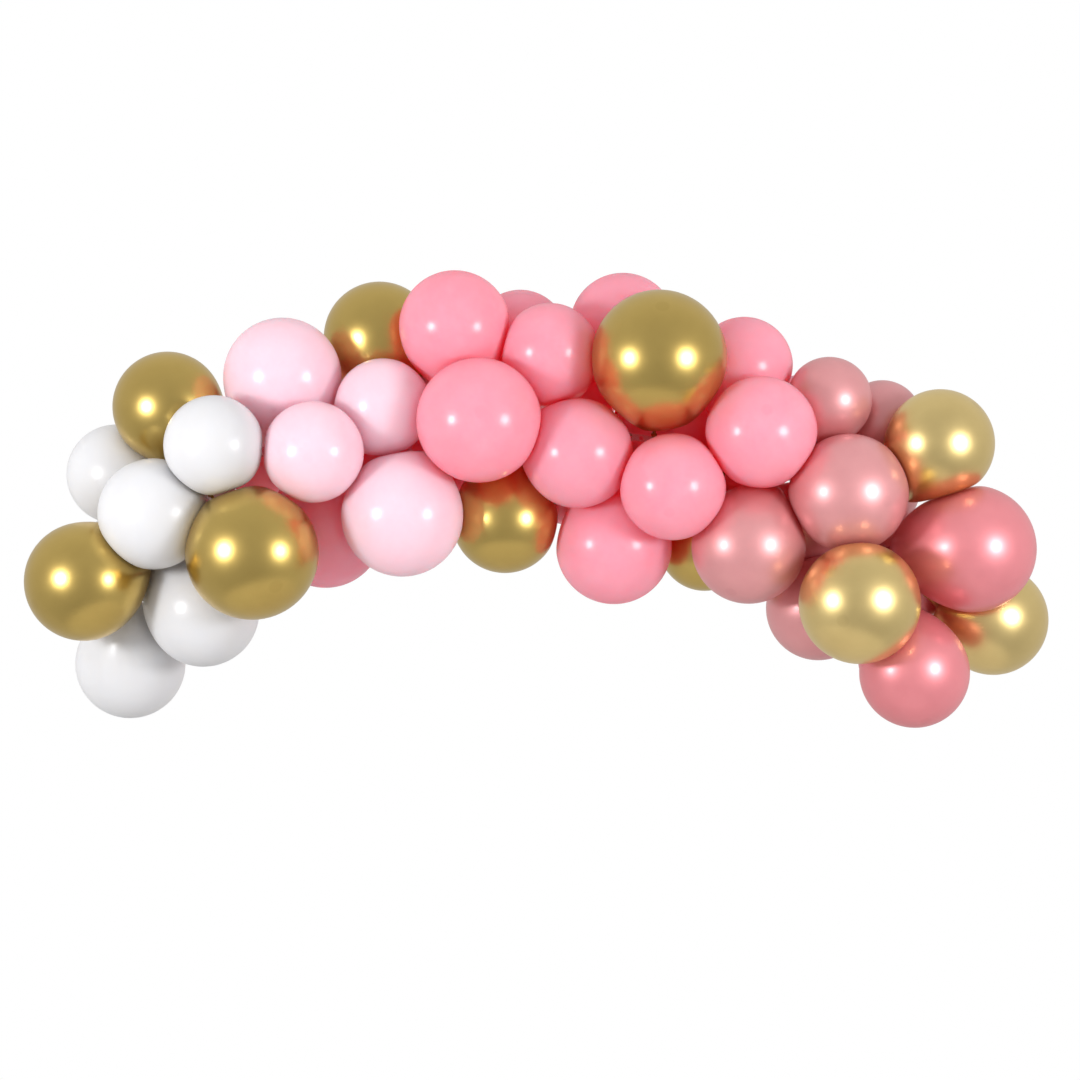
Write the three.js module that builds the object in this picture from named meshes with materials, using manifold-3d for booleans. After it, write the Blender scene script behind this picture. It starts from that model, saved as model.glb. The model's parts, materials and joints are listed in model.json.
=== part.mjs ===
// A balloon garland: latex balloons tied by their necks to a clear plastic strip that runs
// along an arch inside the cluster. Millimetres, +X to the right, +Z up, the room is on the
// -Y side and the wall on the +Y side. The origin is on the back face of the strip at its
// crown, where the garland hangs on its middle hook.
import * as THREE from 'three';
import { mergeVertices } from 'three/addons/utils/BufferGeometryUtils.js';
import Module from 'manifold-3d';

// The strip
const STRIP_WIDTH = 14;
const STRIP_THICKNESS = 1.2;
const LONGEST_SECTION = 75;
const HOLE_PITCH = 25;
const HOOK_LENGTH = 30; // plain strip kept free for a hook at the crown and at both ends
const HOLE_MARGIN = 10; // from a hook's plain strip to the next hole
// Its centre line, left end to right end, as [x, z]
const STRIP_ROUTE = [
  [-812, -355], [-778, -262], [-660, -125], [-541, -42], [-330, -17], [0, 0],
  [250, -25], [483, -92], [600, -165], [672, -260], [700, -364],
];

// The necks
const NECK_RADIUS = 4.5;
const LIP_RADIUS = 8;
const KNOT_TO_LIP = 10;
const SHORTEST_NECK = 20; // from the body to the lip
const NECK_SIDES = 5;

// How the balloons sit together
const SQUEEZE = 0.08; // how far two tied balloons press into each other
const CONTACT_GAP = 0.4;
const ROUNDEST = 1.02; // body length from centre to neck, over its radius
const USUAL = 1.2;
const LONGEST = 1.3;
const FRONT = -25; // balloons further out than this are divided more finely
const FACETS_FRONT = 2;
const FACETS_BACK = 1;

// Finishes of the latex
const FINISHES = {
  white: { color: 0xf3f3f4, roughness: 0.32, metalness: 0 },
  pale_pink: { color: 0xfbe0ea, roughness: 0.3, metalness: 0 },
  candy_pink: { color: 0xffa9bf, roughness: 0.28, metalness: 0 },
  mauve: { color: 0xcf9094, roughness: 0.26, metalness: 0.3 },
  rose: { color: 0xdd8a92, roughness: 0.26, metalness: 0.3 },
  gold: { color: 0xb0965a, roughness: 0.22, metalness: 0.95 },
};
const STRIP_FINISH = { color: 0xe9eef0, roughness: 0.2, metalness: 0 };

// Each balloon that shows from the room: [finish, x, z, y, diameter]. x and z place it on the
// arch, y says how far it stands out into the room (-) or back to the wall (+).
const SHOWN = [
  // left end
  ['gold', -884, -295, -40, 229],
  ['white', -840, -85, 60, 196],
  ['gold', -730, 45, -20, 215],
  ['white', -745, -165, -120, 213],
  ['white', -625, -35, -150, 191],
  ['gold', -552, -240, -175, 254],
  ['white', -660, -353, -30, 218],
  ['white', -818, -460, 110, 218],
  // left shoulder
  ['pale_pink', -504, 102, -57, 229],
  ['pale_pink', -437, -47, -163, 194],
  ['pale_pink', -307, 42, -86, 187],
  ['pale_pink', -269, -168, -120, 235],
  ['candy_pink', -425, -195, 25, 228],
  ['gold', -320, 184, 50, 220],
  // crown
  ['candy_pink', -169, 199, -78, 215],
  ['candy_pink', -43, 186, 60, 186],
  ['candy_pink', 15, 148, -95, 189],
  ['gold', 224, 134, -157, 260],
  ['candy_pink', 159, 206, 37, 209],
  ['candy_pink', 394, 125, -20, 191],
  ['candy_pink', -121, 14, -165, 239],
  ['candy_pink', 69, -48, -110, 212],
  ['gold', -72, -176, -30, 207],
  ['candy_pink', 140, -227, -25, 226],
  ['candy_pink', 250, -114, -143, 203],
  ['candy_pink', 420, -8, -150, 214],
  ['gold', 321, -225, 55, 181],
  // right shoulder
  ['mauve', 398, -228, -110, 220],
  ['mauve', 557, 57, -58, 167],
  ['mauve', 669, 21, 40, 157],
  ['mauve', 590, -125, -125, 228],
  ['gold', 769, -29, -87, 211],
  // right end
  ['rose', 834, -232, -65, 246],
  ['gold', 892, -373, 72, 218],
  ['gold', 604, -335, -197, 232],
  ['rose', 719, -471, -95, 213],
  ['mauve', 543, -349, 35, 205],
];

// The balloons inside the cluster and on its wall side, in the same order of values
const HIDDEN = [
  ['white', -808, -225, 125, 170],
  ['white', -682, -149, 128, 190],
  ['gold', -690, -325, 150, 188],
  ['candy_pink', -560, -42, 105, 214],
  ['pale_pink', -405, 27, 85, 180],
  ['candy_pink', -272, -92, 68, 188],
  ['pale_pink', -172, 70, 105, 196],
  ['candy_pink', -92, -92, 140, 196],
  ['candy_pink', 50, -105, 70, 176],
  ['candy_pink', 275, 18, 90, 204],
  ['gold', 188, -130, 150, 200],
  ['candy_pink', 392, -98, 160, 190],
  ['mauve', 505, -180, 62, 172],
  ['candy_pink', 516, 15, 100, 196],
  ['mauve', 660, -116, 140, 210],
  ['rose', 738, -282, 112, 204],
  ['rose', 718, -440, 116, 176],
  ['candy_pink', 71, 93, 145, 180],
  ['candy_pink', 352, 62, 170, 184],
];

const manifoldModule = await Module();
manifoldModule.setup();

// A closed three.js geometry as a manifold solid
function toSolid(geometry) {
  const bare = geometry.clone();
  bare.deleteAttribute('normal');
  bare.deleteAttribute('uv');
  const merged = mergeVertices(bare, 1e-3);
  return new manifoldModule.Manifold(new manifoldModule.Mesh({
    numProp: 3,
    vertProperties: new Float32Array(merged.attributes.position.array),
    triVerts: new Uint32Array(merged.index.array),
  }));
}

function toGeometry(solid) {
  const mesh = solid.getMesh();
  const geometry = new THREE.BufferGeometry();
  geometry.setAttribute('position', new THREE.BufferAttribute(mesh.vertProperties, 3));
  geometry.setIndex(new THREE.BufferAttribute(mesh.triVerts, 1));
  geometry.computeVertexNormals();
  return geometry;
}

function stripCurve() {
  return new THREE.CatmullRomCurve3(STRIP_ROUTE.map(([x, z]) => new THREE.Vector3(x, 0, z)));
}

// Where along the strip its hooks hold it: the left end, the crown and the right end
function hookMiddles(curve) {
  const length = curve.getLength();
  let crown = 0;
  for (let s = 0; s <= length; s += 1) {
    const nearer = curve.getPointAt(s / length).length() < curve.getPointAt(crown / length).length();
    if (nearer) crown = s;
  }
  return [HOOK_LENGTH / 2, crown, length - HOOK_LENGTH / 2];
}

// Where the strip is divided: at the edges of the hooks' plain strip, and evenly between them
function stripStations(curve) {
  const edges = hookMiddles(curve).flatMap((s) => [s - HOOK_LENGTH / 2, s + HOOK_LENGTH / 2]);
  const stations = [edges[0]];
  for (let i = 1; i < edges.length; i++) {
    const steps = Math.ceil((edges[i] - edges[i - 1]) / LONGEST_SECTION);
    for (let k = 1; k <= steps; k++) {
      stations.push(THREE.MathUtils.lerp(edges[i - 1], edges[i], k / steps));
    }
  }
  return stations;
}

// The strip is flat: a band along its route, in the plane of the arch, with its back at y = 0
function stripGeometry(curve) {
  const length = curve.getLength();
  const stations = stripStations(curve);
  const corners = [];
  for (const s of stations) {
    const at = curve.getPointAt(s / length);
    const along = curve.getTangentAt(s / length);
    const across = new THREE.Vector3(-along.z, 0, along.x).multiplyScalar(STRIP_WIDTH / 2);
    const front = new THREE.Vector3(0, -STRIP_THICKNESS, 0);
    corners.push(at.clone().sub(across), at.clone().add(across));
    corners.push(at.clone().add(across).add(front), at.clone().sub(across).add(front));
  }
  const last = corners.length - 4;
  const faces = [0, 2, 1, 0, 3, 2, last, last + 1, last + 2, last, last + 2, last + 3];
  for (let i = 0; i < last; i += 4) {
    for (let k = 0; k < 4; k++) {
      const a = i + k;
      const b = i + ((k + 1) % 4);
      faces.push(a, b + 4, a + 4, a, b, b + 4);
    }
  }
  const band = new THREE.BufferGeometry().setFromPoints(corners);
  band.setIndex(faces);
  return band;
}

// The holes that balloons are tied at: all along the strip, but not where the hooks go
function tyingHoles(curve) {
  const length = curve.getLength();
  const hooks = hookMiddles(curve);
  const holes = [];
  for (let s = HOOK_LENGTH + HOLE_MARGIN; s < length; s += HOLE_PITCH) {
    const clear = hooks.every((hook) => Math.abs(s - hook) >= HOOK_LENGTH / 2 + HOLE_MARGIN);
    if (clear) holes.push(curve.getPointAt(s / length));
  }
  return holes;
}

function makeBalloons() {
  const counts = {};
  const make = ([finish, x, z, y, diameter], shown) => {
    counts[finish] = (counts[finish] ?? 0) + 1;
    return {
      name: `balloon_${finish}_${counts[finish]}`,
      finish,
      shown,
      centre: new THREE.Vector3(x, y, z),
      radius: diameter / 2,
    };
  };
  return [...SHOWN.map((row) => make(row, true)), ...HIDDEN.map((row) => make(row, false))];
}

// Tied balloons push each other away until none is squeezed more than latex gives. Those that
// show only move in or out of the arch; the others move any way, but stay off the strip.
function settle(balloons, curve) {
  const strip = curve.getSpacedPoints(Math.round(curve.getLength() / HOLE_PITCH) * 2);
  const push = new THREE.Vector3();
  for (let round = 0; round < 400; round++) {
    const moves = balloons.map(() => new THREE.Vector3());
    balloons.forEach((a, i) => balloons.slice(i + 1).forEach((b, k) => {
      push.subVectors(a.centre, b.centre);
      const depth = (1 - SQUEEZE) * (a.radius + b.radius) - push.length();
      if (depth <= 0) return;
      push.setLength(depth / 2);
      moves[i].add(push);
      moves[i + 1 + k].sub(push);
    }));
    balloons.forEach((balloon, i) => {
      const near = nearest(strip, balloon.centre);
      push.subVectors(balloon.centre, near);
      const depth = balloon.radius + SHORTEST_NECK - push.length();
      if (depth > 0) moves[i].add(push.setLength(depth));
      if (balloon.shown) moves[i].set(0, moves[i].y, 0);
      balloon.centre.addScaledVector(moves[i], 0.25);
    });
  }
}

function nearest(points, target) {
  let best = points[0];
  for (const point of points) {
    if (point.distanceTo(target) < best.distanceTo(target)) best = point;
  }
  return best;
}

// Where the lip of a balloon tied at this hole touches the strip, on the balloon's own side
function lipPlace(balloon, hole) {
  const front = balloon.centre.y < 0;
  const face = front ? -STRIP_THICKNESS - CONTACT_GAP : CONTACT_GAP;
  const axis = hole.clone().sub(balloon.centre).normalize();
  const tilt = LIP_RADIUS * Math.sqrt(1 - axis.y * axis.y);
  return new THREE.Vector3(hole.x, face + (front ? -tilt : tilt), hole.z);
}

// The least room that a neck to this place leaves to any other body, and to any other neck on
// the same side of the strip
function roomAlong(balloon, place, balloons) {
  const axis = place.clone().sub(balloon.centre);
  const reach = axis.length();
  axis.normalize();
  const onOther = new THREE.Vector3();
  let room = Infinity;
  for (let s = balloon.radius; s < reach + 4; s += 4) {
    const point = balloon.centre.clone().addScaledVector(axis, Math.min(s, reach));
    for (const other of balloons) {
      if (other === balloon) continue;
      room = Math.min(room, point.distanceTo(other.centre) - other.radius);
      if (!other.lip || other.lip.y * place.y < 0) continue;
      const neck = new THREE.Line3(other.centre, other.lip);
      neck.closestPointToPoint(point, true, onOther);
      room = Math.min(room, point.distanceTo(onOther) - NECK_RADIUS - LIP_RADIUS);
    }
  }
  return room;
}

// Each balloon takes a hole with a clear way for its neck, as far off as it is long. A hole
// takes one balloon in front of the strip and one behind it. They are tied from the ends up.
function tieAll(balloons, holes) {
  const taken = [];
  const upwards = [...balloons].sort((a, b) => a.centre.z - b.centre.z);
  for (const balloon of upwards) {
    let best = null;
    for (const hole of holes) {
      const place = lipPlace(balloon, hole);
      if (taken.some((other) => other.y * place.y > 0 && other.distanceTo(place) < HOLE_PITCH / 2)) {
        continue;
      }
      const reach = place.distanceTo(balloon.centre);
      const room = Math.min(roomAlong(balloon, place, balloons), 2 * LIP_RADIUS);
      const slack = Math.abs(reach - USUAL * balloon.radius - SHORTEST_NECK);
      const score = room * 4 - slack;
      if (!best || score > best.score) best = { place, score, reach, room };
    }
    taken.push(best.place);
    balloon.lip = best.place;
    balloon.room = best.room;
    balloon.stretch = THREE.MathUtils.clamp(
      (best.reach - SHORTEST_NECK) / balloon.radius, ROUNDEST, LONGEST);
  }
}

// The flat contacts with the neighbours, as outward normals and distances from the centre
function contactsOf(balloon, balloons) {
  const contacts = [];
  for (const other of balloons) {
    const normal = other.centre.clone().sub(balloon.centre);
    const apart = normal.length();
    if (other === balloon || apart > (balloon.radius + other.radius) * LONGEST) continue;
    const squares = apart ** 2 + balloon.radius ** 2 - other.radius ** 2;
    contacts.push({
      normal: normal.normalize(),
      distance: squares / (2 * apart) - CONTACT_GAP / 2,
    });
  }
  return contacts;
}

// The body: round at the crown, drawn out towards the neck, flat where a neighbour presses
function bodyGeometry(balloon, contacts) {
  const detail = balloon.centre.y < FRONT ? FACETS_FRONT : FACETS_BACK;
  const ball = new THREE.IcosahedronGeometry(1, detail);
  const golden = (1 + Math.sqrt(5)) / 2;
  const corner = new THREE.Vector3(-1, golden, 0).normalize();
  const neck = balloon.lip.clone().sub(balloon.centre).normalize();
  ball.applyQuaternion(new THREE.Quaternion().setFromUnitVectors(corner, neck));
  const position = ball.attributes.position;
  const point = new THREE.Vector3();
  for (let i = 0; i < position.count; i++) {
    point.fromBufferAttribute(position, i);
    const towardsNeck = Math.max(0, point.dot(neck));
    point.addScaledVector(neck, (balloon.stretch - 1) * towardsNeck ** 3);
    point.multiplyScalar(balloon.radius);
    for (const { normal, distance } of contacts) {
      const out = point.dot(normal);
      if (out > distance) point.multiplyScalar(distance / out);
    }
    point.add(balloon.centre);
    position.setXYZ(i, point.x, point.y, point.z);
  }
  return ball;
}

// The neck: straight out of the body to the knot, then open to the rolled lip
function neckGeometry(balloon, swell = 0) {
  const reach = balloon.lip.distanceTo(balloon.centre) + swell;
  const root = balloon.radius * 0.9;
  const profile = [
    [0, root],
    [NECK_RADIUS, root],
    [NECK_RADIUS, reach - KNOT_TO_LIP],
    [LIP_RADIUS, reach],
    [0, reach],
  ].map(([radius, along]) => new THREE.Vector2(radius && radius + swell, along));
  const neck = new THREE.LatheGeometry(profile, NECK_SIDES);
  const axis = balloon.lip.clone().sub(balloon.centre).normalize();
  neck.applyQuaternion(new THREE.Quaternion().setFromUnitVectors(new THREE.Vector3(0, 1, 0), axis));
  return neck.translate(...balloon.centre);
}

// The whole balloon: its body gives way to the necks that pass it, and its own neck is one with it
function balloonGeometry(balloon, balloons) {
  let body = toSolid(bodyGeometry(balloon, contactsOf(balloon, balloons)));
  for (const other of balloons) {
    const neck = new THREE.Line3(other.centre, other.lip);
    const near = neck.closestPointToPoint(balloon.centre, true, new THREE.Vector3());
    const apart = near.distanceTo(balloon.centre);
    if (other === balloon || apart > balloon.radius * LONGEST + LIP_RADIUS) continue;
    body = body.subtract(toSolid(neckGeometry(other, CONTACT_GAP)));
  }
  return toGeometry(body.add(toSolid(neckGeometry(balloon))));
}

function named(name, geometry, finish) {
  const mesh = new THREE.Mesh(geometry, new THREE.MeshStandardMaterial(finish));
  mesh.name = name;
  return mesh;
}

function makeGarland() {
  const garland = new THREE.Group();
  const curve = stripCurve();
  const balloons = makeBalloons();
  settle(balloons, curve);
  tieAll(balloons, tyingHoles(curve));
  garland.add(named('strip', stripGeometry(curve), STRIP_FINISH));
  for (const balloon of balloons) {
    const geometry = balloonGeometry(balloon, balloons);
    garland.add(named(balloon.name, geometry, FINISHES[balloon.finish]));
  }
  return garland;
}

export default makeGarland();
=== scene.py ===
"""The looks of a balloon garland: latex balloons tied by their necks to a clear plastic strip.

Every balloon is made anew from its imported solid: the round crown gives its centre and radius, the
lip gives the way it is tied, and the neighbours give the flat contacts. One Geometry Nodes tree
blows up all the balloons, and another punches the strip and bends it along its route.
"""

import json
import logging
import math
from dataclasses import dataclass, field
from enum import Enum

import bpy
import numpy as np
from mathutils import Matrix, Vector


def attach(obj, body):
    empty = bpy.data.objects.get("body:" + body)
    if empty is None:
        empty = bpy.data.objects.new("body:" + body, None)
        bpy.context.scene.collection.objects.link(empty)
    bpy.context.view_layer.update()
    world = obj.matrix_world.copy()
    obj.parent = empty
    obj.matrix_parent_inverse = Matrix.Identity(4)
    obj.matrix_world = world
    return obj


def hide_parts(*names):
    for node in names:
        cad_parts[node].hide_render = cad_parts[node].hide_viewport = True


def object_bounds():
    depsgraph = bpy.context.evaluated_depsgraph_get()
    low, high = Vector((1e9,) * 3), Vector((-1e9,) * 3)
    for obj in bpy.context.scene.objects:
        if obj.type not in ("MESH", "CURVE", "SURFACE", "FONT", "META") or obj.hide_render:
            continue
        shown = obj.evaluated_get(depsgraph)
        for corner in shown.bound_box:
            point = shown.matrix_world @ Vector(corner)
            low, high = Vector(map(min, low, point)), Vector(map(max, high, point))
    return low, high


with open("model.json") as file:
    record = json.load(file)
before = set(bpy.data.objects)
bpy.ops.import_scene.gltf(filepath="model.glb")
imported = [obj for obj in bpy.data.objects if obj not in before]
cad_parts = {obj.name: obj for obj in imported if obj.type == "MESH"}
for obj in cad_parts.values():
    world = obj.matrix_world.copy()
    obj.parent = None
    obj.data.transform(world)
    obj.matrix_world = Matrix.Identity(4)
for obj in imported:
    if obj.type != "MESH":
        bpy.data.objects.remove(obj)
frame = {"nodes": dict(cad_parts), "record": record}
CAD_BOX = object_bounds()
LOG = logging.getLogger("garland")

MM = 0.001
SEED = 7
NECK_ATTRIBUTE = "towards_neck"  # -1 at the crown, 1 where the neck starts, 2 at the lip
STRIP_NODE = "strip"


class Finish(Enum):
    """The finishes that the balloons come in, by the record's material slot."""

    WHITE = "white_latex"
    PALE_PINK = "pale_pink_latex"
    CANDY_PINK = "candy_pink_latex"
    MAUVE = "mauve_latex"
    ROSE = "rose_latex"
    GOLD = "gold_latex"


# ---------------------------------------------------------------- nodes and colours


def add_node(tree: bpy.types.NodeTree, kind: str, settings: dict | None = None,
             inputs: dict | None = None) -> bpy.types.Node:
    """Adds one node with its settings and what goes into it.

    Args:
        tree: the node tree.
        kind: the node's type name.
        settings: the node's own properties, by name.
        inputs: by input name or number, a value or another node's output socket.

    Returns:
        The new node.
    """
    node = tree.nodes.new(kind)
    for name, value in (settings or {}).items():
        setattr(node, name, value)
    for key, value in (inputs or {}).items():
        if isinstance(value, bpy.types.NodeSocket):
            tree.links.new(value, node.inputs[key])
        else:
            node.inputs[key].default_value = value
    return node


def maths(tree: bpy.types.NodeTree, operation: str,
          *values: float | bpy.types.NodeSocket) -> bpy.types.NodeSocket:
    """Adds one maths node.

    Args:
        tree: the node tree.
        operation: the node's operation.
        values: what it works on, in order.

    Returns:
        The result's socket.
    """
    node = add_node(tree, "ShaderNodeMath", {"operation": operation}, dict(enumerate(values)))
    return node.outputs[0]


def blank_material(name: str) -> tuple[bpy.types.Material, bpy.types.NodeTree]:
    """Makes a material with an empty tree.

    Args:
        name: the material's name.

    Returns:
        The material and its tree.
    """
    material = bpy.data.materials.new(name)
    material.use_nodes = True
    material.node_tree.nodes.clear()
    return material, material.node_tree


def linear(colour: str) -> tuple[float, float, float, float]:
    """Turns an sRGB hex colour into a linear one.

    Args:
        colour: as "#rrggbb".

    Returns:
        Red, green, blue and alpha, 0 to 1.
    """
    channels = [int(colour[i:i + 2], 16) / 255 for i in (1, 3, 5)]
    curve = [c / 12.92 if c <= 0.04045 else ((c + 0.055) / 1.055) ** 2.4 for c in channels]
    return (*curve, 1.0)


def set_curve(node: bpy.types.Node, points: list[tuple[float, float]]) -> None:
    """Shapes a Float Curve node.

    Args:
        node: the Float Curve node.
        points: where the curve passes, first to last.
    """
    curve = node.mapping.curves[0]
    while len(curve.points) < len(points):
        curve.points.new(0.5, 0.5)
    for point, place in zip(curve.points, points):
        point.location = place
    node.mapping.update()


def new_tree(name: str, sockets: list[tuple[str, str]]) -> bpy.types.NodeTree:
    """Makes an empty Geometry Nodes tree with a geometry input and output.

    Args:
        name: the tree's name.
        sockets: the other inputs, as name and socket type.

    Returns:
        The tree.
    """
    tree = bpy.data.node_groups.new(name, "GeometryNodeTree")
    face = tree.interface
    face.new_socket("Geometry", in_out="INPUT", socket_type="NodeSocketGeometry")
    for label, kind in sockets:
        face.new_socket(label, in_out="INPUT", socket_type=kind)
    face.new_socket("Geometry", in_out="OUTPUT", socket_type="NodeSocketGeometry")
    return tree


def run_tree(tree: bpy.types.NodeTree, name: str, start: bpy.types.Mesh,
             values: dict) -> bpy.types.Object:
    """Runs a Geometry Nodes tree once and keeps the plain mesh that it makes.

    Args:
        tree: the tree.
        name: the new object's name.
        start: the mesh that goes into the tree.
        values: the tree's inputs, by name.

    Returns:
        An object at the origin with the finished mesh and no modifier.
    """
    maker = bpy.data.objects.new(name, start)
    bpy.context.scene.collection.objects.link(maker)
    modifier = maker.modifiers.new(tree.name, "NODES")
    modifier.node_group = tree
    for item in tree.interface.items_tree:
        if item.in_out == "INPUT" and item.name in values:
            modifier[item.identifier] = values[item.name]
    depsgraph = bpy.context.evaluated_depsgraph_get()
    made = bpy.data.meshes.new_from_object(maker.evaluated_get(depsgraph),
                                           preserve_all_data_layers=True, depsgraph=depsgraph)
    maker.modifiers.clear()
    maker.data = made
    made.name = name
    bpy.data.meshes.remove(start)
    return maker


# ---------------------------------------------------------------- finishes


@dataclass(frozen=True)
class PastelLatex:
    """Plain dipped latex, blown up until it is opaque and evenly glossy.

    Dipped natural rubber is smooth but soft, so a lamp's reflection is small with a blurred edge.
    Light wanders in the skin and the white air behind it, hence the wide subsurface, and some
    shines right through, so the clefts between the balloons glow in a deeper tone.
    The skin stays thick and deep-coloured at the neck and in a small spot at the crown.
    """

    name: str
    colour: str
    deep: str
    glow: str
    bleed: tuple[float, float, float] = (1.0, 0.16, 0.14)
    shine_through: float = 0.28
    roughness: float = 0.25
    subsurface: float = 0.85
    bleed_mm: float = 40.0
    spot: float = 0.12
    refraction: float = 1.52

    def build(self) -> bpy.types.Material:
        """Builds the material.

        Returns:
            The material.
        """
        material, tree = blank_material(self.name)
        skin = latex_skin(tree, self.colour, self.deep, self.spot)
        shader = add_node(tree, "ShaderNodeBsdfPrincipled", inputs={
            "Base Color": skin.colour, "Roughness": latex_gloss(tree, self.roughness),
            "Normal": skin.normal, "IOR": self.refraction, "Subsurface Weight": self.subsurface,
            "Subsurface Radius": self.bleed, "Subsurface Scale": self.bleed_mm * MM})
        lit = shining_through(tree, shader, self.glow, self.shine_through)
        add_node(tree, "ShaderNodeOutputMaterial", inputs={"Surface": lit})
        return material


@dataclass(frozen=True)
class PearlLatex:
    """Pearl latex: mica flakes in the skin, under a glossy clear top.

    The flakes mirror softly, so the ball is bright where it faces a lamp and falls off to a deep
    tone at its edge, with a crisp small highlight from the top skin. A little light still shines
    through between the flakes, so the skin is warmest next to a contact.
    """

    name: str
    colour: str
    deep: str
    glow: str
    shine_through: float = 0.2
    roughness: float = 0.4
    flake_share: float = 0.5
    top_skin: float = 0.35
    top_roughness: float = 0.2
    spot: float = 0.12

    def build(self) -> bpy.types.Material:
        """Builds the material.

        Returns:
            The material.
        """
        material, tree = blank_material(self.name)
        skin = latex_skin(tree, self.colour, self.deep, self.spot)
        shader = add_node(tree, "ShaderNodeBsdfPrincipled", inputs={
            "Base Color": skin.colour, "Roughness": latex_gloss(tree, self.roughness),
            "Normal": skin.normal, "Metallic": self.flake_share,
            "Coat Weight": self.top_skin, "Coat Roughness": self.top_roughness})
        lit = shining_through(tree, shader, self.glow, self.shine_through)
        add_node(tree, "ShaderNodeOutputMaterial", inputs={"Surface": lit})
        return material


@dataclass(frozen=True)
class ChromeLatex:
    """Chrome-finish latex: a metal-pigment skin that mirrors its neighbours, a little blurred.

    It is a metal to the eye, with coloured reflections, and a slight waviness bends them.
    """

    name: str
    colour: str
    deep: str
    roughness: float = 0.3
    spot: float = 0.15

    def build(self) -> bpy.types.Material:
        """Builds the material.

        Returns:
            The material.
        """
        material, tree = blank_material(self.name)
        skin = latex_skin(tree, self.colour, self.deep, self.spot)
        shader = add_node(tree, "ShaderNodeBsdfPrincipled", inputs={
            "Base Color": skin.colour, "Roughness": latex_gloss(tree, self.roughness),
            "Normal": skin.normal, "Metallic": 1.0})
        add_node(tree, "ShaderNodeOutputMaterial", inputs={"Surface": shader.outputs[0]})
        return material


@dataclass(frozen=True)
class ClearPlastic:
    """Extruded clear plastic strip, about a millimetre thick, with a faint cool tint.

    Punched and rolled up in its packet, it has a soft waviness, so it glints unevenly.
    """

    name: str = "clear_extruded_strip"
    colour: str = "#e9eef0"
    wave_mm: float = 18.0
    wave_height_mm: float = 0.5
    smoothest: float = 0.12
    roughest: float = 0.28
    refraction: float = 1.46
    clearness: float = 0.95

    def build(self) -> bpy.types.Material:
        """Builds the material.

        Returns:
            The material.
        """
        material, tree = blank_material(self.name)
        place = add_node(tree, "ShaderNodeTexCoord")
        wave = add_node(tree, "ShaderNodeTexNoise", inputs={
            "Vector": place.outputs["Object"], "Scale": 1 / (self.wave_mm * MM), "Detail": 2.0})
        bump = add_node(tree, "ShaderNodeBump", inputs={
            "Strength": 0.2, "Distance": self.wave_height_mm * MM,
            "Height": wave.outputs["Fac"]})
        gloss = add_node(tree, "ShaderNodeMapRange", inputs={
            "Value": wave.outputs["Fac"], "To Min": self.smoothest, "To Max": self.roughest})
        shader = add_node(tree, "ShaderNodeBsdfPrincipled", inputs={
            "Base Color": linear(self.colour), "Roughness": gloss.outputs["Result"],
            "Normal": bump.outputs["Normal"], "IOR": self.refraction,
            "Transmission Weight": self.clearness})
        add_node(tree, "ShaderNodeOutputMaterial", inputs={"Surface": shader.outputs[0]})
        return material


@dataclass(frozen=True)
class StudioPaint:
    """Matt pale paint of the studio floor, rolled on, with a faint mottle."""

    name: str = "studio_floor_paint"
    colour: str = "#bdbcba"
    mottle_mm: float = 120.0
    smoothest: float = 0.7
    roughest: float = 0.85

    def build(self) -> bpy.types.Material:
        """Builds the material.

        Returns:
            The material.
        """
        material, tree = blank_material(self.name)
        place = add_node(tree, "ShaderNodeTexCoord")
        mottle = add_node(tree, "ShaderNodeTexNoise", inputs={
            "Vector": place.outputs["Object"], "Scale": 1 / (self.mottle_mm * MM)})
        rough = add_node(tree, "ShaderNodeMapRange", inputs={
            "Value": mottle.outputs["Fac"], "To Min": self.smoothest, "To Max": self.roughest})
        shader = add_node(tree, "ShaderNodeBsdfPrincipled", inputs={
            "Base Color": linear(self.colour), "Roughness": rough.outputs["Result"]})
        add_node(tree, "ShaderNodeOutputMaterial", inputs={"Surface": shader.outputs[0]})
        return material


@dataclass(frozen=True)
class Skin:
    """The sockets that every latex shares."""

    colour: bpy.types.NodeSocket
    normal: bpy.types.NodeSocket


# Real sizes of what shows in blown-up latex
CLOUD_MM = 45.0  # slow changes of the skin's thickness
RIPPLE_MM = 70.0  # waviness that bends a reflection
RIPPLE_HEIGHT_MM = 1.5
BLOOM_MM = 25.0  # powdery bloom that varies the gloss in patches
BLOOM_CHANGE = 0.03  # of the roughness
THICKEST_CLOUD = 0.1  # how far a cloud goes to the deep colour
DEEP_NECK = (0.9, 1.05)  # where the neck turns deep, by NECK_ATTRIBUTE
CROWN_SPOT = (-0.990, -0.997)  # where the crown spot begins and is full


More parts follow.
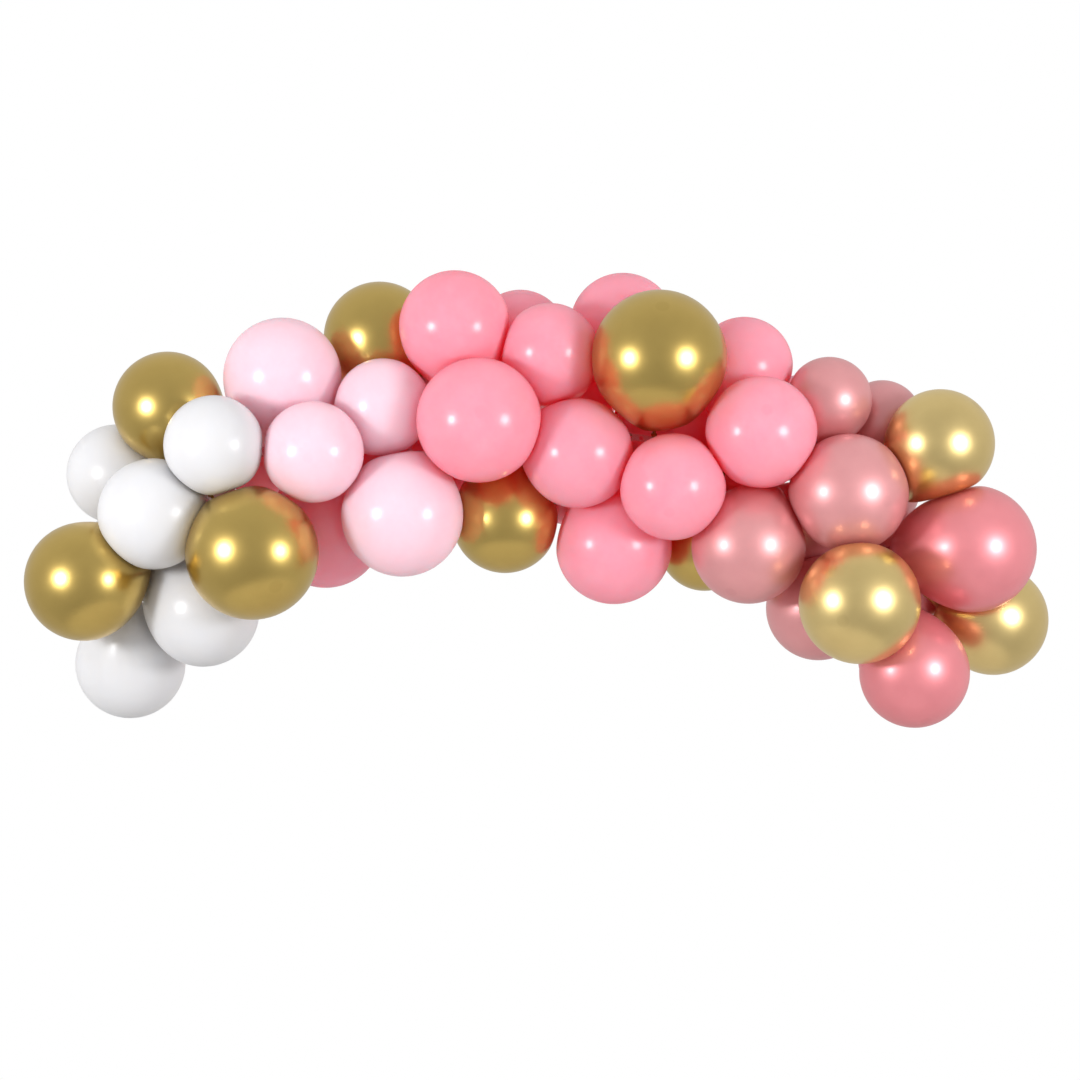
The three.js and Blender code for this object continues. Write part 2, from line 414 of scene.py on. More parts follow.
def latex_skin(tree: bpy.types.NodeTree, colour: str, deep: str, spot: float) -> Skin:
    """Adds what the latex finishes share: clouds, deep neck, crown spot and ripple.

    Args:
        tree: the material's tree.
        colour: the stretched skin, as sRGB hex.
        deep: the thick skin at the neck and crown, as sRGB hex.
        spot: how strongly the crown spot shows.

    Returns:
        The skin's colour and normal.
    """
    place = add_node(tree, "ShaderNodeTexCoord")
    along = add_node(tree, "ShaderNodeAttribute",
                     {"attribute_type": "GEOMETRY", "attribute_name": NECK_ATTRIBUTE})
    neck = add_node(tree, "ShaderNodeMapRange", {"interpolation_type": "SMOOTHSTEP"}, {
        "Value": along.outputs["Fac"], "From Min": DEEP_NECK[0], "From Max": DEEP_NECK[1]})
    crown = add_node(tree, "ShaderNodeMapRange", {"interpolation_type": "SMOOTHSTEP"}, {
        "Value": along.outputs["Fac"], "From Min": CROWN_SPOT[0], "From Max": CROWN_SPOT[1],
        "To Max": spot})
    clouds = add_node(tree, "ShaderNodeTexNoise", inputs={
        "Vector": place.outputs["Object"], "Scale": 1 / (CLOUD_MM * MM), "Detail": 3.0})
    thin = add_node(tree, "ShaderNodeMapRange", inputs={
        "Value": clouds.outputs["Fac"], "From Min": 0.3, "From Max": 0.7,
        "To Max": THICKEST_CLOUD})
    ends = maths(tree, "MAXIMUM", neck.outputs["Result"], crown.outputs["Result"])
    thick = maths(tree, "MAXIMUM", ends, thin.outputs["Result"])
    blend = add_node(tree, "ShaderNodeMix", {"data_type": "RGBA"}, {
        0: thick, 6: linear(colour), 7: linear(deep)})
    ripple = add_node(tree, "ShaderNodeTexNoise", inputs={
        "Vector": place.outputs["Object"], "Scale": 1 / (RIPPLE_MM * MM), "Detail": 1.0})
    bump = add_node(tree, "ShaderNodeBump", inputs={
        "Strength": 0.15, "Distance": RIPPLE_HEIGHT_MM * MM, "Height": ripple.outputs["Fac"]})
    return Skin(blend.outputs[2], bump.outputs["Normal"])


def latex_gloss(tree: bpy.types.NodeTree, roughness: float) -> bpy.types.NodeSocket:
    """Adds the powdery bloom that varies a latex skin's gloss.

    Args:
        tree: the material's tree.
        roughness: the clean skin's roughness.

    Returns:
        The roughness socket.
    """
    place = add_node(tree, "ShaderNodeTexCoord")
    bloom = add_node(tree, "ShaderNodeTexNoise", inputs={
        "Vector": place.outputs["Object"], "Scale": 1 / (BLOOM_MM * MM), "Detail": 4.0})
    gloss = add_node(tree, "ShaderNodeMapRange", inputs={
        "Value": bloom.outputs["Fac"], "From Min": 0.35, "From Max": 0.65,
        "To Min": roughness * (1 - BLOOM_CHANGE), "To Max": roughness * (1 + BLOOM_CHANGE)})
    return gloss.outputs["Result"]


def shining_through(tree: bpy.types.NodeTree, skin: bpy.types.Node, glow: str,
                    share: float) -> bpy.types.NodeSocket:
    """Adds the light that shines through a skin from behind.

    Args:
        tree: the material's tree.
        skin: the shader of the skin's outside.
        glow: the colour of the light that comes through, as sRGB hex.
        share: how much of the light comes through.

    Returns:
        The finished shader's socket.
    """
    through = add_node(tree, "ShaderNodeBsdfTranslucent", inputs={"Color": linear(glow)})
    both = add_node(tree, "ShaderNodeMixShader", inputs={
        0: share, 1: skin.outputs[0], 2: through.outputs[0]})
    return both.outputs[0]


FINISHES = {
    Finish.WHITE: PastelLatex("white_pastel_latex", "#d3d3d6", "#d8d3ca", "#f6efe2",
                              bleed=(1.0, 0.95, 0.9), shine_through=0.1, roughness=0.3),
    Finish.PALE_PINK: PastelLatex("pale_pink_pastel_latex", "#f7dae6", "#f0b2c4", "#ffb8be",
                                  bleed=(1.0, 0.4, 0.4), shine_through=0.26),
    Finish.CANDY_PINK: PastelLatex("candy_pink_pastel_latex", "#ffb7ca", "#f2607c", "#ff6872",
                                   shine_through=0.38),
    Finish.MAUVE: PearlLatex("mauve_pearl_latex", "#e8a6a8", "#a5555e", "#ff9a9e"),
    Finish.ROSE: PearlLatex("coral_rose_pearl_latex", "#ec949b", "#b2505a", "#ff8890"),
    Finish.GOLD: ChromeLatex("gold_chrome_latex", "#ceb166", "#9c7f40"),
}
PALE_GOLD = ChromeLatex("pale_gold_chrome_latex", "#e9cf8e", "#b29556", roughness=0.34)
PALE_GOLD_FROM = 0.55  # of the half width: the golds of the right end come paler
STRIP_PLASTIC = ClearPlastic()


# ---------------------------------------------------------------- balloons


@dataclass
class TiedBalloon:
    """One balloon as the frame holds it, in metres."""

    node: str
    slot: str
    centre: Vector
    radius: float
    lip: Vector
    shortest_neck: float = 20 * MM
    roundest: float = 1.02
    longest: float = 1.3

    @property
    def reach(self) -> float:
        """How far the lip is from the centre."""
        return (self.lip - self.centre).length

    @property
    def axis(self) -> Vector:
        """The way from the centre to the lip."""
        return (self.lip - self.centre).normalized()

    @property
    def stretch(self) -> float:
        """The body's length from centre to neck, over its radius."""
        drawn = (self.reach - self.shortest_neck) / self.radius
        return min(max(drawn, self.roundest), self.longest)

    def contact_feet(self, others: list["TiedBalloon"], gap: float) -> list[Vector]:
        """Where the flat contacts with the neighbours come closest to the centre.

        Args:
            others: every balloon of the garland.
            gap: the room left between two pressed skins.

        Returns:
            One point for each contact, from the balloon's centre.
        """
        feet = []
        for other in others:
            way = other.centre - self.centre
            apart = way.length
            if other is self or apart > (self.radius + other.radius) * self.longest:
                continue
            squares = apart ** 2 + self.radius ** 2 - other.radius ** 2
            feet.append(way.normalized() * (squares / (2 * apart) - gap / 2))
        return feet


def node_points(node: str) -> np.ndarray:
    """Reads the different corners of a CAD node.

    Args:
        node: the node's name.

    Returns:
        One row for each corner, in metres.
    """
    mesh = frame["nodes"][node].data
    flat = np.zeros(len(mesh.vertices) * 3, np.float32)
    mesh.vertices.foreach_get("co", flat)
    return np.unique(flat.reshape(-1, 3).astype(float).round(6), axis=0)


def crown_sphere(points: np.ndarray, tries: int = 20000, off: float = 0.02 * MM,
                 spread: float = 20 * MM) -> tuple[np.ndarray, float]:
    """Finds the sphere that a balloon's round crown lies on.

    Spheres through four corners at a time are tried, and the one with most corners on it wins.

    Args:
        points: the balloon's corners.
        tries: how many sets of four are tried.
        off: how far a corner may be off its sphere.
        spread: how far apart four corners have to be, for their sphere to be exact.

    Returns:
        The centre and the radius.
    """
    order = np.random.default_rng(SEED)
    picks = points[order.integers(0, len(points), (tries, 4))]
    sides = 2 * (picks[:, 1:] - picks[:, :1])
    squares = (picks ** 2).sum(2)
    rights = (squares[:, 1:] - squares[:, :1])[:, :, None]
    sound = np.abs(np.linalg.det(sides)) > spread ** 3
    centres = np.linalg.solve(sides[sound], rights[sound])[:, :, 0]
    radii = np.linalg.norm(picks[sound][:, 0] - centres, axis=1)
    gaps = np.linalg.norm(points[None] - centres[:, None], axis=2) - radii[:, None]
    best = (np.abs(gaps) < off).sum(1).argmax()
    return centres[best], float(radii[best])


def read_balloon(node: str, slot: str, rim_depth: float = 1 * MM) -> TiedBalloon:
    """Reads a balloon's centre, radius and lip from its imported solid.

    Args:
        node: the CAD node.
        slot: its material slot.
        rim_depth: how much nearer than the farthest corner the lip's other corners may be.

    Returns:
        The balloon.
    """
    points = node_points(node)
    centre, radius = crown_sphere(points)
    far = np.linalg.norm(points - centre, axis=1)
    rim = points[far > far.max() - rim_depth]
    return TiedBalloon(node, slot, Vector(centre), radius, Vector(rim.mean(0)))


@dataclass
class BalloonCluster:
    """All the balloons, each blown up by one tree and pressed against its neighbours."""

    segments: int = 64
    rings: int = 84
    body_share: float = 0.72  # of the rings; the neck, knot and lip have the rest
    neck_share: float = 0.35  # of the neck's rings, up to the knot
    root_radius: float = 5.0 * MM
    lip_radius: float = 8.0 * MM
    tail_length: float = 16.0 * MM  # knot and free tail
    point: float = 0.03  # how far the body is drawn to a point at the neck, over its radius
    point_power: float = 30.0
    draw_power: float = 3.0  # how late the body's stretch towards the neck begins
    softness: float = 14.0 * MM  # how gently a skin turns into a flat contact
    contact_gap: float = 0.4 * MM
    # The tail's radius over the lip's, and how far along it is, from neck to inside the lip
    tail_radius: list[tuple[float, float]] = field(default_factory=lambda: [
        (0.0, 0.62), (0.12, 0.45), (0.35, 0.42), (0.44, 0.74), (0.52, 0.72), (0.6, 0.42),
        (0.76, 0.62), (0.88, 0.86), (0.93, 1.0), (0.97, 0.9), (1.0, 0.0)])
    tail_along: list[tuple[float, float]] = field(default_factory=lambda: [
        (0.0, 0.0), (0.35, 0.0), (0.6, 0.42), (0.88, 0.94), (0.94, 1.0), (0.97, 0.95),
        (1.0, 0.6)])

    def tree(self) -> bpy.types.NodeTree:
        """Builds the tree that blows up one balloon from the feet of its contacts.

        Returns:
            The tree.
        """
        tree = new_tree("Pressed balloon", [
            ("Radius", "NodeSocketFloat"), ("Stretch", "NodeSocketFloat"),
            ("Reach", "NodeSocketFloat"), ("Root angle", "NodeSocketFloat"),
            ("Axis", "NodeSocketVector"), ("Centre", "NodeSocketVector"),
            ("Material", "NodeSocketMaterial")])
        given = add_node(tree, "NodeGroupInput")
        ball = add_node(tree, "GeometryNodeMeshUVSphere", inputs={
            "Segments": self.segments, "Rings": self.rings, "Radius": 1.0})
        place = add_node(tree, "GeometryNodeInputPosition")
        parts = add_node(tree, "ShaderNodeSeparateXYZ", inputs={0: place.outputs[0]})
        down = maths(tree, "MULTIPLY", parts.outputs["Z"], -1.0)
        angle = maths(tree, "ARCCOSINE", down)
        share = maths(tree, "DIVIDE", angle, math.pi)
        body, facing = self._body(tree, given, share)
        neck, along = self._neck(tree, given, share, body["axial"])
        on_neck = maths(tree, "GREATER_THAN", share, self.body_share)
        radial = add_node(tree, "GeometryNodeSwitch", {"input_type": "FLOAT"}, {
            "Switch": on_neck, "False": body["radial"], "True": neck["radial"]})
        axial = add_node(tree, "GeometryNodeSwitch", {"input_type": "FLOAT"}, {
            "Switch": on_neck, "False": body["axial"], "True": neck["axial"]})
        mark = maths(tree, "ADD", facing, along)
        marked = add_node(tree, "GeometryNodeStoreNamedAttribute", {"data_type": "FLOAT"}, {
            "Geometry": ball.outputs["Mesh"], "Name": NECK_ATTRIBUTE, "Value": mark})
        flat = add_node(tree, "ShaderNodeVectorMath", {"operation": "MULTIPLY"}, {
            0: place.outputs[0], 1: (1.0, 1.0, 0.0)})
        side = add_node(tree, "ShaderNodeVectorMath", {"operation": "NORMALIZE"}, {
            0: flat.outputs[0]})
        out = add_node(tree, "ShaderNodeVectorMath", {"operation": "SCALE"}, {
            0: side.outputs[0], "Scale": radial.outputs[0]})
        up = add_node(tree, "ShaderNodeCombineXYZ", inputs={"Z": axial.outputs[0]})
        shape = add_node(tree, "ShaderNodeVectorMath", {"operation": "ADD"}, {
            0: out.outputs[0], 1: up.outputs[0]})
        turn = add_node(tree, "FunctionNodeAlignRotationToVector", {"axis": "Z"}, {
            "Vector": given.outputs["Axis"]})
        turned = add_node(tree, "FunctionNodeRotateVector", inputs={
            "Vector": shape.outputs[0], "Rotation": turn.outputs[0]})
        blown = add_node(tree, "GeometryNodeSetPosition", inputs={
            "Geometry": marked.outputs[0], "Position": turned.outputs[0]})
        pressed = self._press(tree, given, blown.outputs[0])
        moved = add_node(tree, "GeometryNodeSetPosition", inputs={
            "Geometry": pressed, "Offset": given.outputs["Centre"]})
        smooth = add_node(tree, "GeometryNodeSetShadeSmooth", inputs={
            "Geometry": moved.outputs[0]})
        real = add_node(tree, "GeometryNodeRealizeInstances", inputs={0: smooth.outputs[0]})
        coated = add_node(tree, "GeometryNodeSetMaterial", inputs={
            "Geometry": real.outputs[0], "Material": given.outputs["Material"]})
        add_node(tree, "NodeGroupOutput", inputs={0: coated.outputs[0]})
        return tree

    def _body(self, tree: bpy.types.NodeTree, given: bpy.types.Node,
              share: bpy.types.NodeSocket) -> tuple[dict, bpy.types.NodeSocket]:
        """The body's half outline: round at the crown, drawn out towards the neck.

        Args:
            tree: the tree.
            given: its input node.
            share: how far along the rings a point is, 0 to 1.

        Returns:
            The axial and radial sockets, and how far a point faces the neck, -1 to 1.
        """
        angle = add_node(tree, "ShaderNodeMapRange", inputs={
            "Value": share, "From Max": self.body_share, "To Max": given.outputs["Root angle"]})
        cosine = maths(tree, "COSINE", angle.outputs["Result"])
        facing = maths(tree, "MULTIPLY", cosine, -1.0)
        sine = maths(tree, "SINE", angle.outputs["Result"])
        neck_half = maths(tree, "MAXIMUM", facing, 0.0)
        late = maths(tree, "POWER", neck_half, self.draw_power)
        more = maths(tree, "SUBTRACT", given.outputs["Stretch"], 1.0)
        drawn = maths(tree, "MULTIPLY_ADD", late, more, facing)
        tip = maths(tree, "POWER", neck_half, self.point_power)
        pointed = maths(tree, "MULTIPLY_ADD", tip, self.point, drawn)
        axial = maths(tree, "MULTIPLY", pointed, given.outputs["Radius"])
        radial = maths(tree, "MULTIPLY", sine, given.outputs["Radius"])
        return {"axial": axial, "radial": radial}, facing

    def _neck(self, tree: bpy.types.NodeTree, given: bpy.types.Node,
              share: bpy.types.NodeSocket, root: bpy.types.NodeSocket,
              ) -> tuple[dict, bpy.types.NodeSocket]:
        """The neck's half outline: straight to the knot, then open to the rolled lip.

        Args:
            tree: the tree.
            given: its input node.
            share: how far along the rings a point is, 0 to 1.
            root: where the body ends, along the axis.

        Returns:
            The axial and radial sockets, and how far along the neck a point is, 0 to 1.
        """
        along = add_node(tree, "ShaderNodeMapRange", inputs={
            "Value": share, "From Min": self.body_share, "From Max": 1.0})
        width = add_node(tree, "ShaderNodeFloatCurve", inputs={
            "Value": along.outputs["Result"]})
        set_curve(width, self.tail_radius)
        radial = maths(tree, "MULTIPLY", width.outputs[0], self.lip_radius)
        knot = maths(tree, "SUBTRACT", given.outputs["Reach"], self.tail_length)
        run = add_node(tree, "ShaderNodeMapRange", inputs={
            "Value": along.outputs["Result"], "From Max": self.neck_share,
            "To Min": root, "To Max": knot})
        tail = add_node(tree, "ShaderNodeFloatCurve", inputs={"Value": along.outputs["Result"]})
        set_curve(tail, self.tail_along)
        axial = maths(tree, "MULTIPLY_ADD", tail.outputs[0], self.tail_length,
                      run.outputs["Result"])
        return {"axial": axial, "radial": radial}, along.outputs["Result"]

    def _press(self, tree: bpy.types.NodeTree, given: bpy.types.Node,
               skin: bpy.types.NodeSocket) -> bpy.types.NodeSocket:
        """Presses the body flat at each contact, one contact a round.

        Args:
            tree: the tree.
            given: its input node, whose geometry is the feet of the contacts.
            skin: the blown-up balloon.

        Returns:
            The pressed balloon.
        """
        count = add_node(tree, "GeometryNodeAttributeDomainSize", inputs={
            "Geometry": given.outputs["Geometry"]})
        start = tree.nodes.new("GeometryNodeRepeatInput")
        end = tree.nodes.new("GeometryNodeRepeatOutput")
        start.pair_with_output(end)
        tree.links.new(count.outputs["Point Count"], start.inputs["Iterations"])
        tree.links.new(skin, start.inputs["Geometry"])
        place = add_node(tree, "GeometryNodeInputPosition")
        foot = add_node(tree, "GeometryNodeSampleIndex", {"data_type": "FLOAT_VECTOR"}, {
            "Geometry": given.outputs["Geometry"], "Value": place.outputs[0],
            "Index": start.outputs["Iteration"]})
        normal = add_node(tree, "ShaderNodeVectorMath", {"operation": "NORMALIZE"}, {
            0: foot.outputs[0]})
        limit = add_node(tree, "ShaderNodeVectorMath", {"operation": "LENGTH"}, {
            0: foot.outputs[0]})
        out = add_node(tree, "ShaderNodeVectorMath", {"operation": "DOT_PRODUCT"}, {
            0: place.outputs[0], 1: normal.outputs[0]})
        held = maths(tree, "SMOOTH_MIN", out.outputs["Value"], limit.outputs["Value"],
                     self.softness)
        back = maths(tree, "SUBTRACT", held, out.outputs["Value"])
        mark = add_node(tree, "GeometryNodeInputNamedAttribute", {"data_type": "FLOAT"}, {
            "Name": NECK_ATTRIBUTE})
        body = add_node(tree, "ShaderNodeMapRange", {"interpolation_type": "SMOOTHSTEP"}, {
            "Value": mark.outputs["Attribute"], "From Min": 1.0, "From Max": 0.99})
        much = maths(tree, "MULTIPLY", back, body.outputs["Result"])
        move = add_node(tree, "ShaderNodeVectorMath", {"operation": "SCALE"}, {
            0: normal.outputs[0], "Scale": much})
        pushed = add_node(tree, "GeometryNodeSetPosition", inputs={
            "Geometry": start.outputs["Geometry"], "Offset": move.outputs[0]})
        tree.links.new(pushed.outputs[0], end.inputs["Geometry"])
        return end.outputs["Geometry"]

    def build(self, balloons: list[TiedBalloon], dress: dict[str, bpy.types.Material],
              pale_gold: bpy.types.Material) -> None:
        """Blows up every balloon and puts it in place of its CAD node.

        Args:
            balloons: the balloons read from the frame.
            dress: a material for each slot.
            pale_gold: the material of the golds at the right end.
        """
        tree = self.tree()
        right = CAD_BOX[1][0] * PALE_GOLD_FROM
        for balloon in balloons:
            feet = balloon.contact_feet(balloons, self.contact_gap)
            start = bpy.data.meshes.new("feet")
            start.from_pydata(feet, [], [])
            pale = balloon.slot == Finish.GOLD.value and balloon.centre.x > right
            piece = run_tree(tree, f"{balloon.node}_latex", start, {
                "Radius": balloon.radius, "Stretch": balloon.stretch, "Reach": balloon.reach,
                "Root angle": math.pi - math.asin(self.root_radius / balloon.radius),
                "Axis": balloon.axis, "Centre": balloon.centre,
                "Material": pale_gold if pale else dress[balloon.slot]})
            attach(piece, "root")
            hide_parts(balloon.node)
            LOG.info("%s: radius %.0f mm, %d contacts, stretch %.2f", piece.name,
                     balloon.radius / MM, len(feet), balloon.stretch)


# ---------------------------------------------------------------- strip


@dataclass
class PunchedStrip:
    """The clear strip that carries the balloons: punched cells in a row, bent along the arch."""

    width: float = 14.0 * MM
    thickness: float = 1.2 * MM
    pitch: float = 25.0 * MM
    first_hole: float = 40.0 * MM  # from the left end; nearer the ends the strip is plain
    hole_radius: float = 4.2 * MM
    waist: float = 0.12  # how much narrower the strip is between two holes
    edge_step: float = 1.0 * MM  # divides the pitch and the width, so that the cells join up
    hole_points: int = 24
    smooth_steps: int = 8  # of the bend, between two corners of the route
    corner_slack: float = 0.05 * MM
    seal_slack: float = 0.02 * MM
    slot_name: str = "clear_strip"

    def route(self) -> list[Vector]:
        """Reads the strip's centre line from the corners of its back face.

        Returns:
            Its points, left to right.
        """
        points = node_points(STRIP_NODE)
        back = points[points[:, 1] > -self.thickness / 2]
        middles = []
        for i, a in enumerate(back):
            for b in back[i + 1:]:
                if abs(np.linalg.norm(a - b) - self.width) < self.corner_slack:
                    middles.append(Vector((a + b) / 2))
        return sorted(middles, key=lambda middle: middle.x)

    def tree(self) -> bpy.types.NodeTree:
        """Builds the tree that punches the cells and bends them along the route.

        Returns:
            The tree.
        """
        tree = new_tree("Punched strip", [
            ("Cells", "NodeSocketInt"), ("Start", "NodeSocketFloat"),
            ("Crown", "NodeSocketFloat"), ("Material", "NodeSocketMaterial")])
        given = add_node(tree, "NodeGroupInput")
        sheet = add_node(tree, "GeometryNodeCurvePrimitiveQuadrilateral", inputs={
            "Width": self.pitch, "Height": self.width})
        edge = add_node(tree, "GeometryNodeResampleCurve", inputs={
            "Curve": sheet.outputs[0],
            "Count": round(2 * (self.pitch + self.width) / self.edge_step)})
        hole = add_node(tree, "GeometryNodeCurvePrimitiveCircle", inputs={
            "Resolution": self.hole_points, "Radius": self.hole_radius})
        both = add_node(tree, "GeometryNodeJoinGeometry", inputs={0: edge.outputs[0]})
        tree.links.new(hole.outputs[0], both.inputs[0])
        punched = add_node(tree, "GeometryNodeFillCurve", inputs={0: both.outputs[0]})
        plain = add_node(tree, "GeometryNodeFillCurve", inputs={0: edge.outputs[0]})
        row = add_node(tree, "GeometryNodeMeshLine", inputs={
            "Count": given.outputs["Cells"], "Offset": (self.pitch, 0.0, 0.0)})
        solid = self._plain_cells(tree, given)
        open_cells = add_node(tree, "FunctionNodeBooleanMath", {"operation": "NOT"}, {0: solid})
        holes = add_node(tree, "GeometryNodeInstanceOnPoints", inputs={
            "Points": row.outputs[0], "Selection": open_cells.outputs[0],
            "Instance": punched.outputs[0]})
        plains = add_node(tree, "GeometryNodeInstanceOnPoints", inputs={
            "Points": row.outputs[0], "Selection": solid, "Instance": plain.outputs[0]})
        cells = add_node(tree, "GeometryNodeJoinGeometry", inputs={0: holes.outputs[0]})
        tree.links.new(plains.outputs[0], cells.inputs[0])
        real = add_node(tree, "GeometryNodeRealizeInstances", inputs={0: cells.outputs[0]})
        whole = add_node(tree, "GeometryNodeMergeByDistance", inputs={
            "Geometry": real.outputs[0], "Distance": self.corner_slack})
        bent = self._bend(tree, given, whole.outputs[0])
        thick = add_node(tree, "GeometryNodeExtrudeMesh", inputs={
            "Mesh": bent, "Offset": (0.0, -1.0, 0.0), "Offset Scale": self.thickness,
            "Individual": False})
        turned = add_node(tree, "GeometryNodeFlipFaces", inputs={0: bent})
        closed = add_node(tree, "GeometryNodeJoinGeometry", inputs={0: thick.outputs[0]})
        tree.links.new(turned.outputs[0], closed.inputs[0])
        sealed = add_node(tree, "GeometryNodeMergeByDistance", inputs={
            "Geometry": closed.outputs[0], "Distance": self.seal_slack})
        done = add_node(tree, "GeometryNodeRealizeInstances", inputs={0: sealed.outputs[0]})
        coated = add_node(tree, "GeometryNodeSetMaterial", inputs={
            "Geometry": done.outputs[0], "Material": given.outputs["Material"]})
        add_node(tree, "NodeGroupOutput", inputs={0: coated.outputs[0]})
        return tree

    def _plain_cells(self, tree: bpy.types.NodeTree,
                     given: bpy.types.Node) -> bpy.types.NodeSocket:
        """Which cells have no hole: those at the two ends and the crown, where hooks bear.

        Args:
            tree: the tree.
            given: its input node.

        Returns:
            True for a plain cell.
        """
        index = add_node(tree, "GeometryNodeInputIndex")
        last = maths(tree, "SUBTRACT", given.outputs["Cells"], 1.0)
        first = add_node(tree, "FunctionNodeCompare", {"data_type": "INT", "operation": "EQUAL"},
                         {2: index.outputs[0], 3: 0})
        end = add_node(tree, "FunctionNodeCompare", {"data_type": "INT", "operation": "EQUAL"},
                       {2: index.outputs[0], 3: last})
        ends = add_node(tree, "FunctionNodeBooleanMath", {"operation": "OR"}, {
            0: first.outputs[0], 1: end.outputs[0]})
        along = maths(tree, "MULTIPLY_ADD", index.outputs[0], self.pitch, given.outputs["Start"])
        near = maths(tree, "COMPARE", along, given.outputs["Crown"], self.pitch)
        every = add_node(tree, "FunctionNodeBooleanMath", {"operation": "OR"}, {
            0: ends.outputs[0], 1: near})
        return every.outputs[0]

    def _bend(self, tree: bpy.types.NodeTree, given: bpy.types.Node,
              flat: bpy.types.NodeSocket) -> bpy.types.NodeSocket:
        """Narrows the flat row between its holes and lays it along the route.

        Args:
            tree: the tree.
            given: its input node, whose geometry is the route.
            flat: the flat row of cells, along X.

        Returns:
            The bent row, with its face in the plane of the arch.
        """
        line = add_node(tree, "GeometryNodeMeshToCurve", inputs={
            0: given.outputs["Geometry"]})
        curve = add_node(tree, "GeometryNodeCurveSplineType", {"spline_type": "CATMULL_ROM"}, {
            0: line.outputs[0]})
        fine = add_node(tree, "GeometryNodeSetSplineResolution", inputs={
            "Geometry": curve.outputs[0], "Resolution": self.smooth_steps})
        place = add_node(tree, "GeometryNodeInputPosition")
        parts = add_node(tree, "ShaderNodeSeparateXYZ", inputs={0: place.outputs[0]})
        wave = maths(tree, "MULTIPLY", parts.outputs["X"], math.tau / self.pitch)
        swell = maths(tree, "COSINE", wave)
        narrow = add_node(tree, "ShaderNodeMapRange", inputs={
            "Value": swell, "From Min": -1.0, "From Max": 1.0,
            "To Min": 1.0 - self.waist, "To Max": 1.0})
        across = maths(tree, "MULTIPLY", parts.outputs["Y"], narrow.outputs["Result"])
        along = maths(tree, "ADD", parts.outputs["X"], given.outputs["Start"])
        spot = add_node(tree, "GeometryNodeSampleCurve", {"mode": "LENGTH"}, {
            "Curves": fine.outputs[0], "Length": along})
        lift = add_node(tree, "ShaderNodeVectorMath", {"operation": "CROSS_PRODUCT"}, {
            0: spot.outputs["Tangent"], 1: (0.0, 1.0, 0.0)})
        shift = add_node(tree, "ShaderNodeVectorMath", {"operation": "SCALE"}, {
            0: lift.outputs[0], "Scale": across})
        there = add_node(tree, "ShaderNodeVectorMath", {"operation": "ADD"}, {
            0: spot.outputs["Position"], 1: shift.outputs[0]})
        bent = add_node(tree, "GeometryNodeSetPosition", inputs={
            "Geometry": flat, "Position": there.outputs[0]})
        return bent.outputs[0]

    def build(self, plastic: bpy.types.Material) -> None:
        """Makes the strip and puts it in place of its CAD node.

        Args:
            plastic: the strip's material.
        """
        route = self.route()
        steps = [(b - a).length for a, b in zip(route, route[1:])]
        start = self.first_hole - self.pitch
        cells = int((sum(steps) - start) / self.pitch + 0.5)
        along = np.concatenate([[0.0], np.cumsum(steps)])
        crown = float(np.interp(0.0, [middle.x for middle in route], along))
        line = bpy.data.meshes.new("route")
        line.from_pydata(route, [(i, i + 1) for i in range(len(route) - 1)], [])
        piece = run_tree(self.tree(), "strip_punched", line, {
            "Cells": cells, "Start": start, "Crown": crown, "Material": plastic})
        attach(piece, "root")
        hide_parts(STRIP_NODE)
        LOG.info("%s: %d cells, %.2f m", piece.name, cells, sum(steps))


# ---------------------------------------------------------------- studio


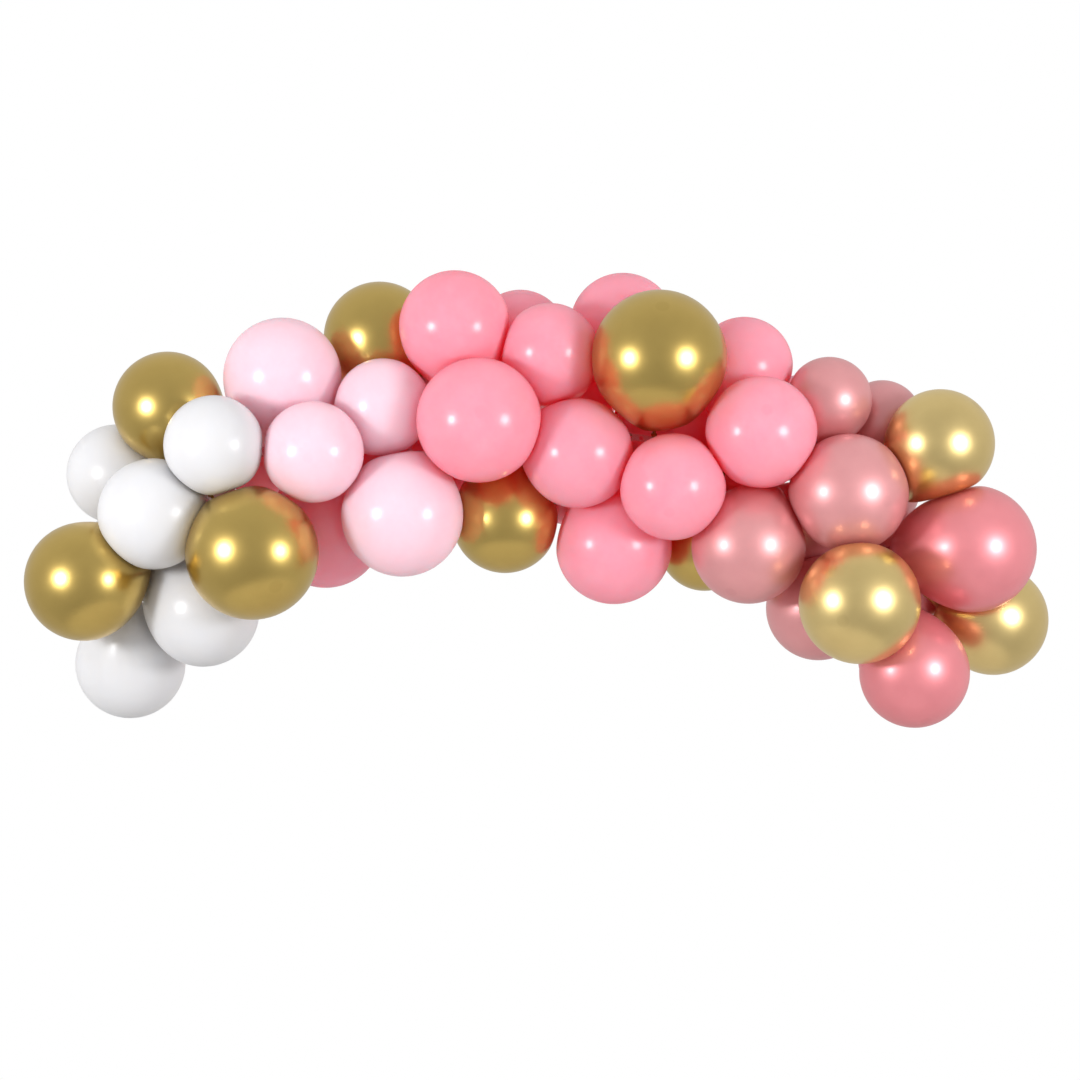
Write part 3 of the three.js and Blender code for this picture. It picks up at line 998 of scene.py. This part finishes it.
@dataclass
class Studio:
    """Pale floor, soft lamps either side, a white room and the camera straight in front."""

    camera_distance: float = 7.0
    view_width: float = 2.1136  # across the picture, at the strip
    eye_height: float = -0.215
    eye_side: float = -0.004
    sensor_mm: float = 36.0
    floor_drop: float = 0.95  # from the lowest balloon
    floor_radius: float = 1.35
    floor_corners: int = 96
    lamp_distance: float = 3.4
    lamp_rise: float = 0.2  # above the eye
    aim_rise: float = 0.1
    left_angle: float = 48.0  # degrees from the camera's line
    right_angle: float = 45.5
    left_size: float = 0.62
    right_size: float = 0.85
    left_power: float = 62.0
    right_power: float = 62.0
    room_front: float = 0.5
    room_back: float = 0.66
    room_turn: float = 0.6  # how far back the change from front to back ends, 1 at the wall
    room_top: float = 0.1
    room_fill: float = 0.42  # what matt surfaces get above what shows in mirrors

    def camera(self) -> None:
        """Makes the camera."""
        data = bpy.data.cameras.new("camera")
        data.sensor_width = self.sensor_mm
        data.lens = self.sensor_mm * self.camera_distance / self.view_width
        camera = bpy.data.objects.new("camera", data)
        camera.location = (self.eye_side, -self.camera_distance, self.eye_height)
        camera.rotation_euler = (math.radians(90), 0, 0)
        bpy.context.scene.collection.objects.link(camera)
        bpy.context.scene.camera = camera

    def lamp(self, name: str, angle: float, size: float, power: float) -> None:
        """Makes one soft round lamp, level with the garland and aimed at it.

        Args:
            name: the lamp's name.
            angle: degrees from the camera's line, to the right.
            size: its diameter.
            power: in watts.
        """
        data = bpy.data.lights.new(name, "AREA")
        data.shape = "DISK"
        data.size = size
        data.energy = power
        turn = math.radians(angle)
        lamp = bpy.data.objects.new(name, data)
        lamp.location = (math.sin(turn) * self.lamp_distance,
                         -math.cos(turn) * self.lamp_distance,
                         self.eye_height + self.lamp_rise)
        aim = Vector((0.0, 0.0, self.eye_height + self.aim_rise)) - lamp.location
        lamp.rotation_euler = aim.to_track_quat("-Z", "Y").to_euler()
        bpy.context.scene.collection.objects.link(lamp)

    def room(self) -> None:
        """Makes the white room: darker before the garland, where the camera stands."""
        world = bpy.data.worlds.new("studio_room")
        bpy.context.scene.world = world
        world.use_nodes = True
        tree = world.node_tree
        tree.nodes.clear()
        place = add_node(tree, "ShaderNodeTexCoord")
        parts = add_node(tree, "ShaderNodeSeparateXYZ", inputs={
            0: place.outputs["Generated"]})
        depth = add_node(tree, "ShaderNodeMapRange", {"interpolation_type": "SMOOTHSTEP"}, {
            "Value": parts.outputs["Y"], "From Min": -1.0, "From Max": self.room_turn,
            "To Min": self.room_front, "To Max": self.room_back})
        lit = maths(tree, "MULTIPLY_ADD", parts.outputs["Z"], self.room_top,
                    depth.outputs["Result"])
        ray = add_node(tree, "ShaderNodeLightPath")
        fill = maths(tree, "MULTIPLY_ADD", ray.outputs["Is Diffuse Ray"], self.room_fill, lit)
        around = add_node(tree, "ShaderNodeBackground", inputs={
            "Color": (1.0, 1.0, 1.0, 1.0), "Strength": fill})
        seen = add_node(tree, "ShaderNodeBackground", inputs={
            "Color": (1.0, 1.0, 1.0, 1.0), "Strength": 1.0})
        both = add_node(tree, "ShaderNodeMixShader", inputs={
            0: ray.outputs["Is Camera Ray"], 1: around.outputs[0], 2: seen.outputs[0]})
        add_node(tree, "ShaderNodeOutputWorld", inputs={"Surface": both.outputs[0]})

    def floor(self) -> None:
        """Makes the round floor, well below the garland."""
        around = [math.tau * i / self.floor_corners for i in range(self.floor_corners)]
        depth = CAD_BOX[0][2] - self.floor_drop
        rim = [(math.cos(a) * self.floor_radius, math.sin(a) * self.floor_radius, depth)
               for a in around]
        mesh = bpy.data.meshes.new("floor")
        mesh.from_pydata(rim, [], [list(range(len(rim)))])
        mesh.materials.append(StudioPaint().build())
        floor = bpy.data.objects.new("floor", mesh)
        bpy.context.scene.collection.objects.link(floor)

    def build(self) -> None:
        """Sets up the whole studio."""
        bpy.context.scene.view_settings.view_transform = "Standard"
        self.camera()
        self.lamp("lamp_left", -self.left_angle, self.left_size, self.left_power)
        self.lamp("lamp_right", self.right_angle, self.right_size, self.right_power)
        self.room()
        self.floor()
        LOG.info("studio: two lamps, floor, room and camera")


def main() -> None:
    """Builds the garland and its studio, piece by piece."""
    logging.basicConfig(level=logging.INFO, format="%(name)s: %(message)s")
    Studio().build()
    slots = {part["node"]: part["material_slot"] for part in frame["record"]["subparts"]}
    dress = {finish.value: latex.build() for finish, latex in FINISHES.items()}
    PunchedStrip().build(STRIP_PLASTIC.build())
    balloons = [read_balloon(node, slot) for node, slot in slots.items() if node != STRIP_NODE]
    BalloonCluster().build(balloons, dress, PALE_GOLD.build())


if __name__ == "__main__":
    main()
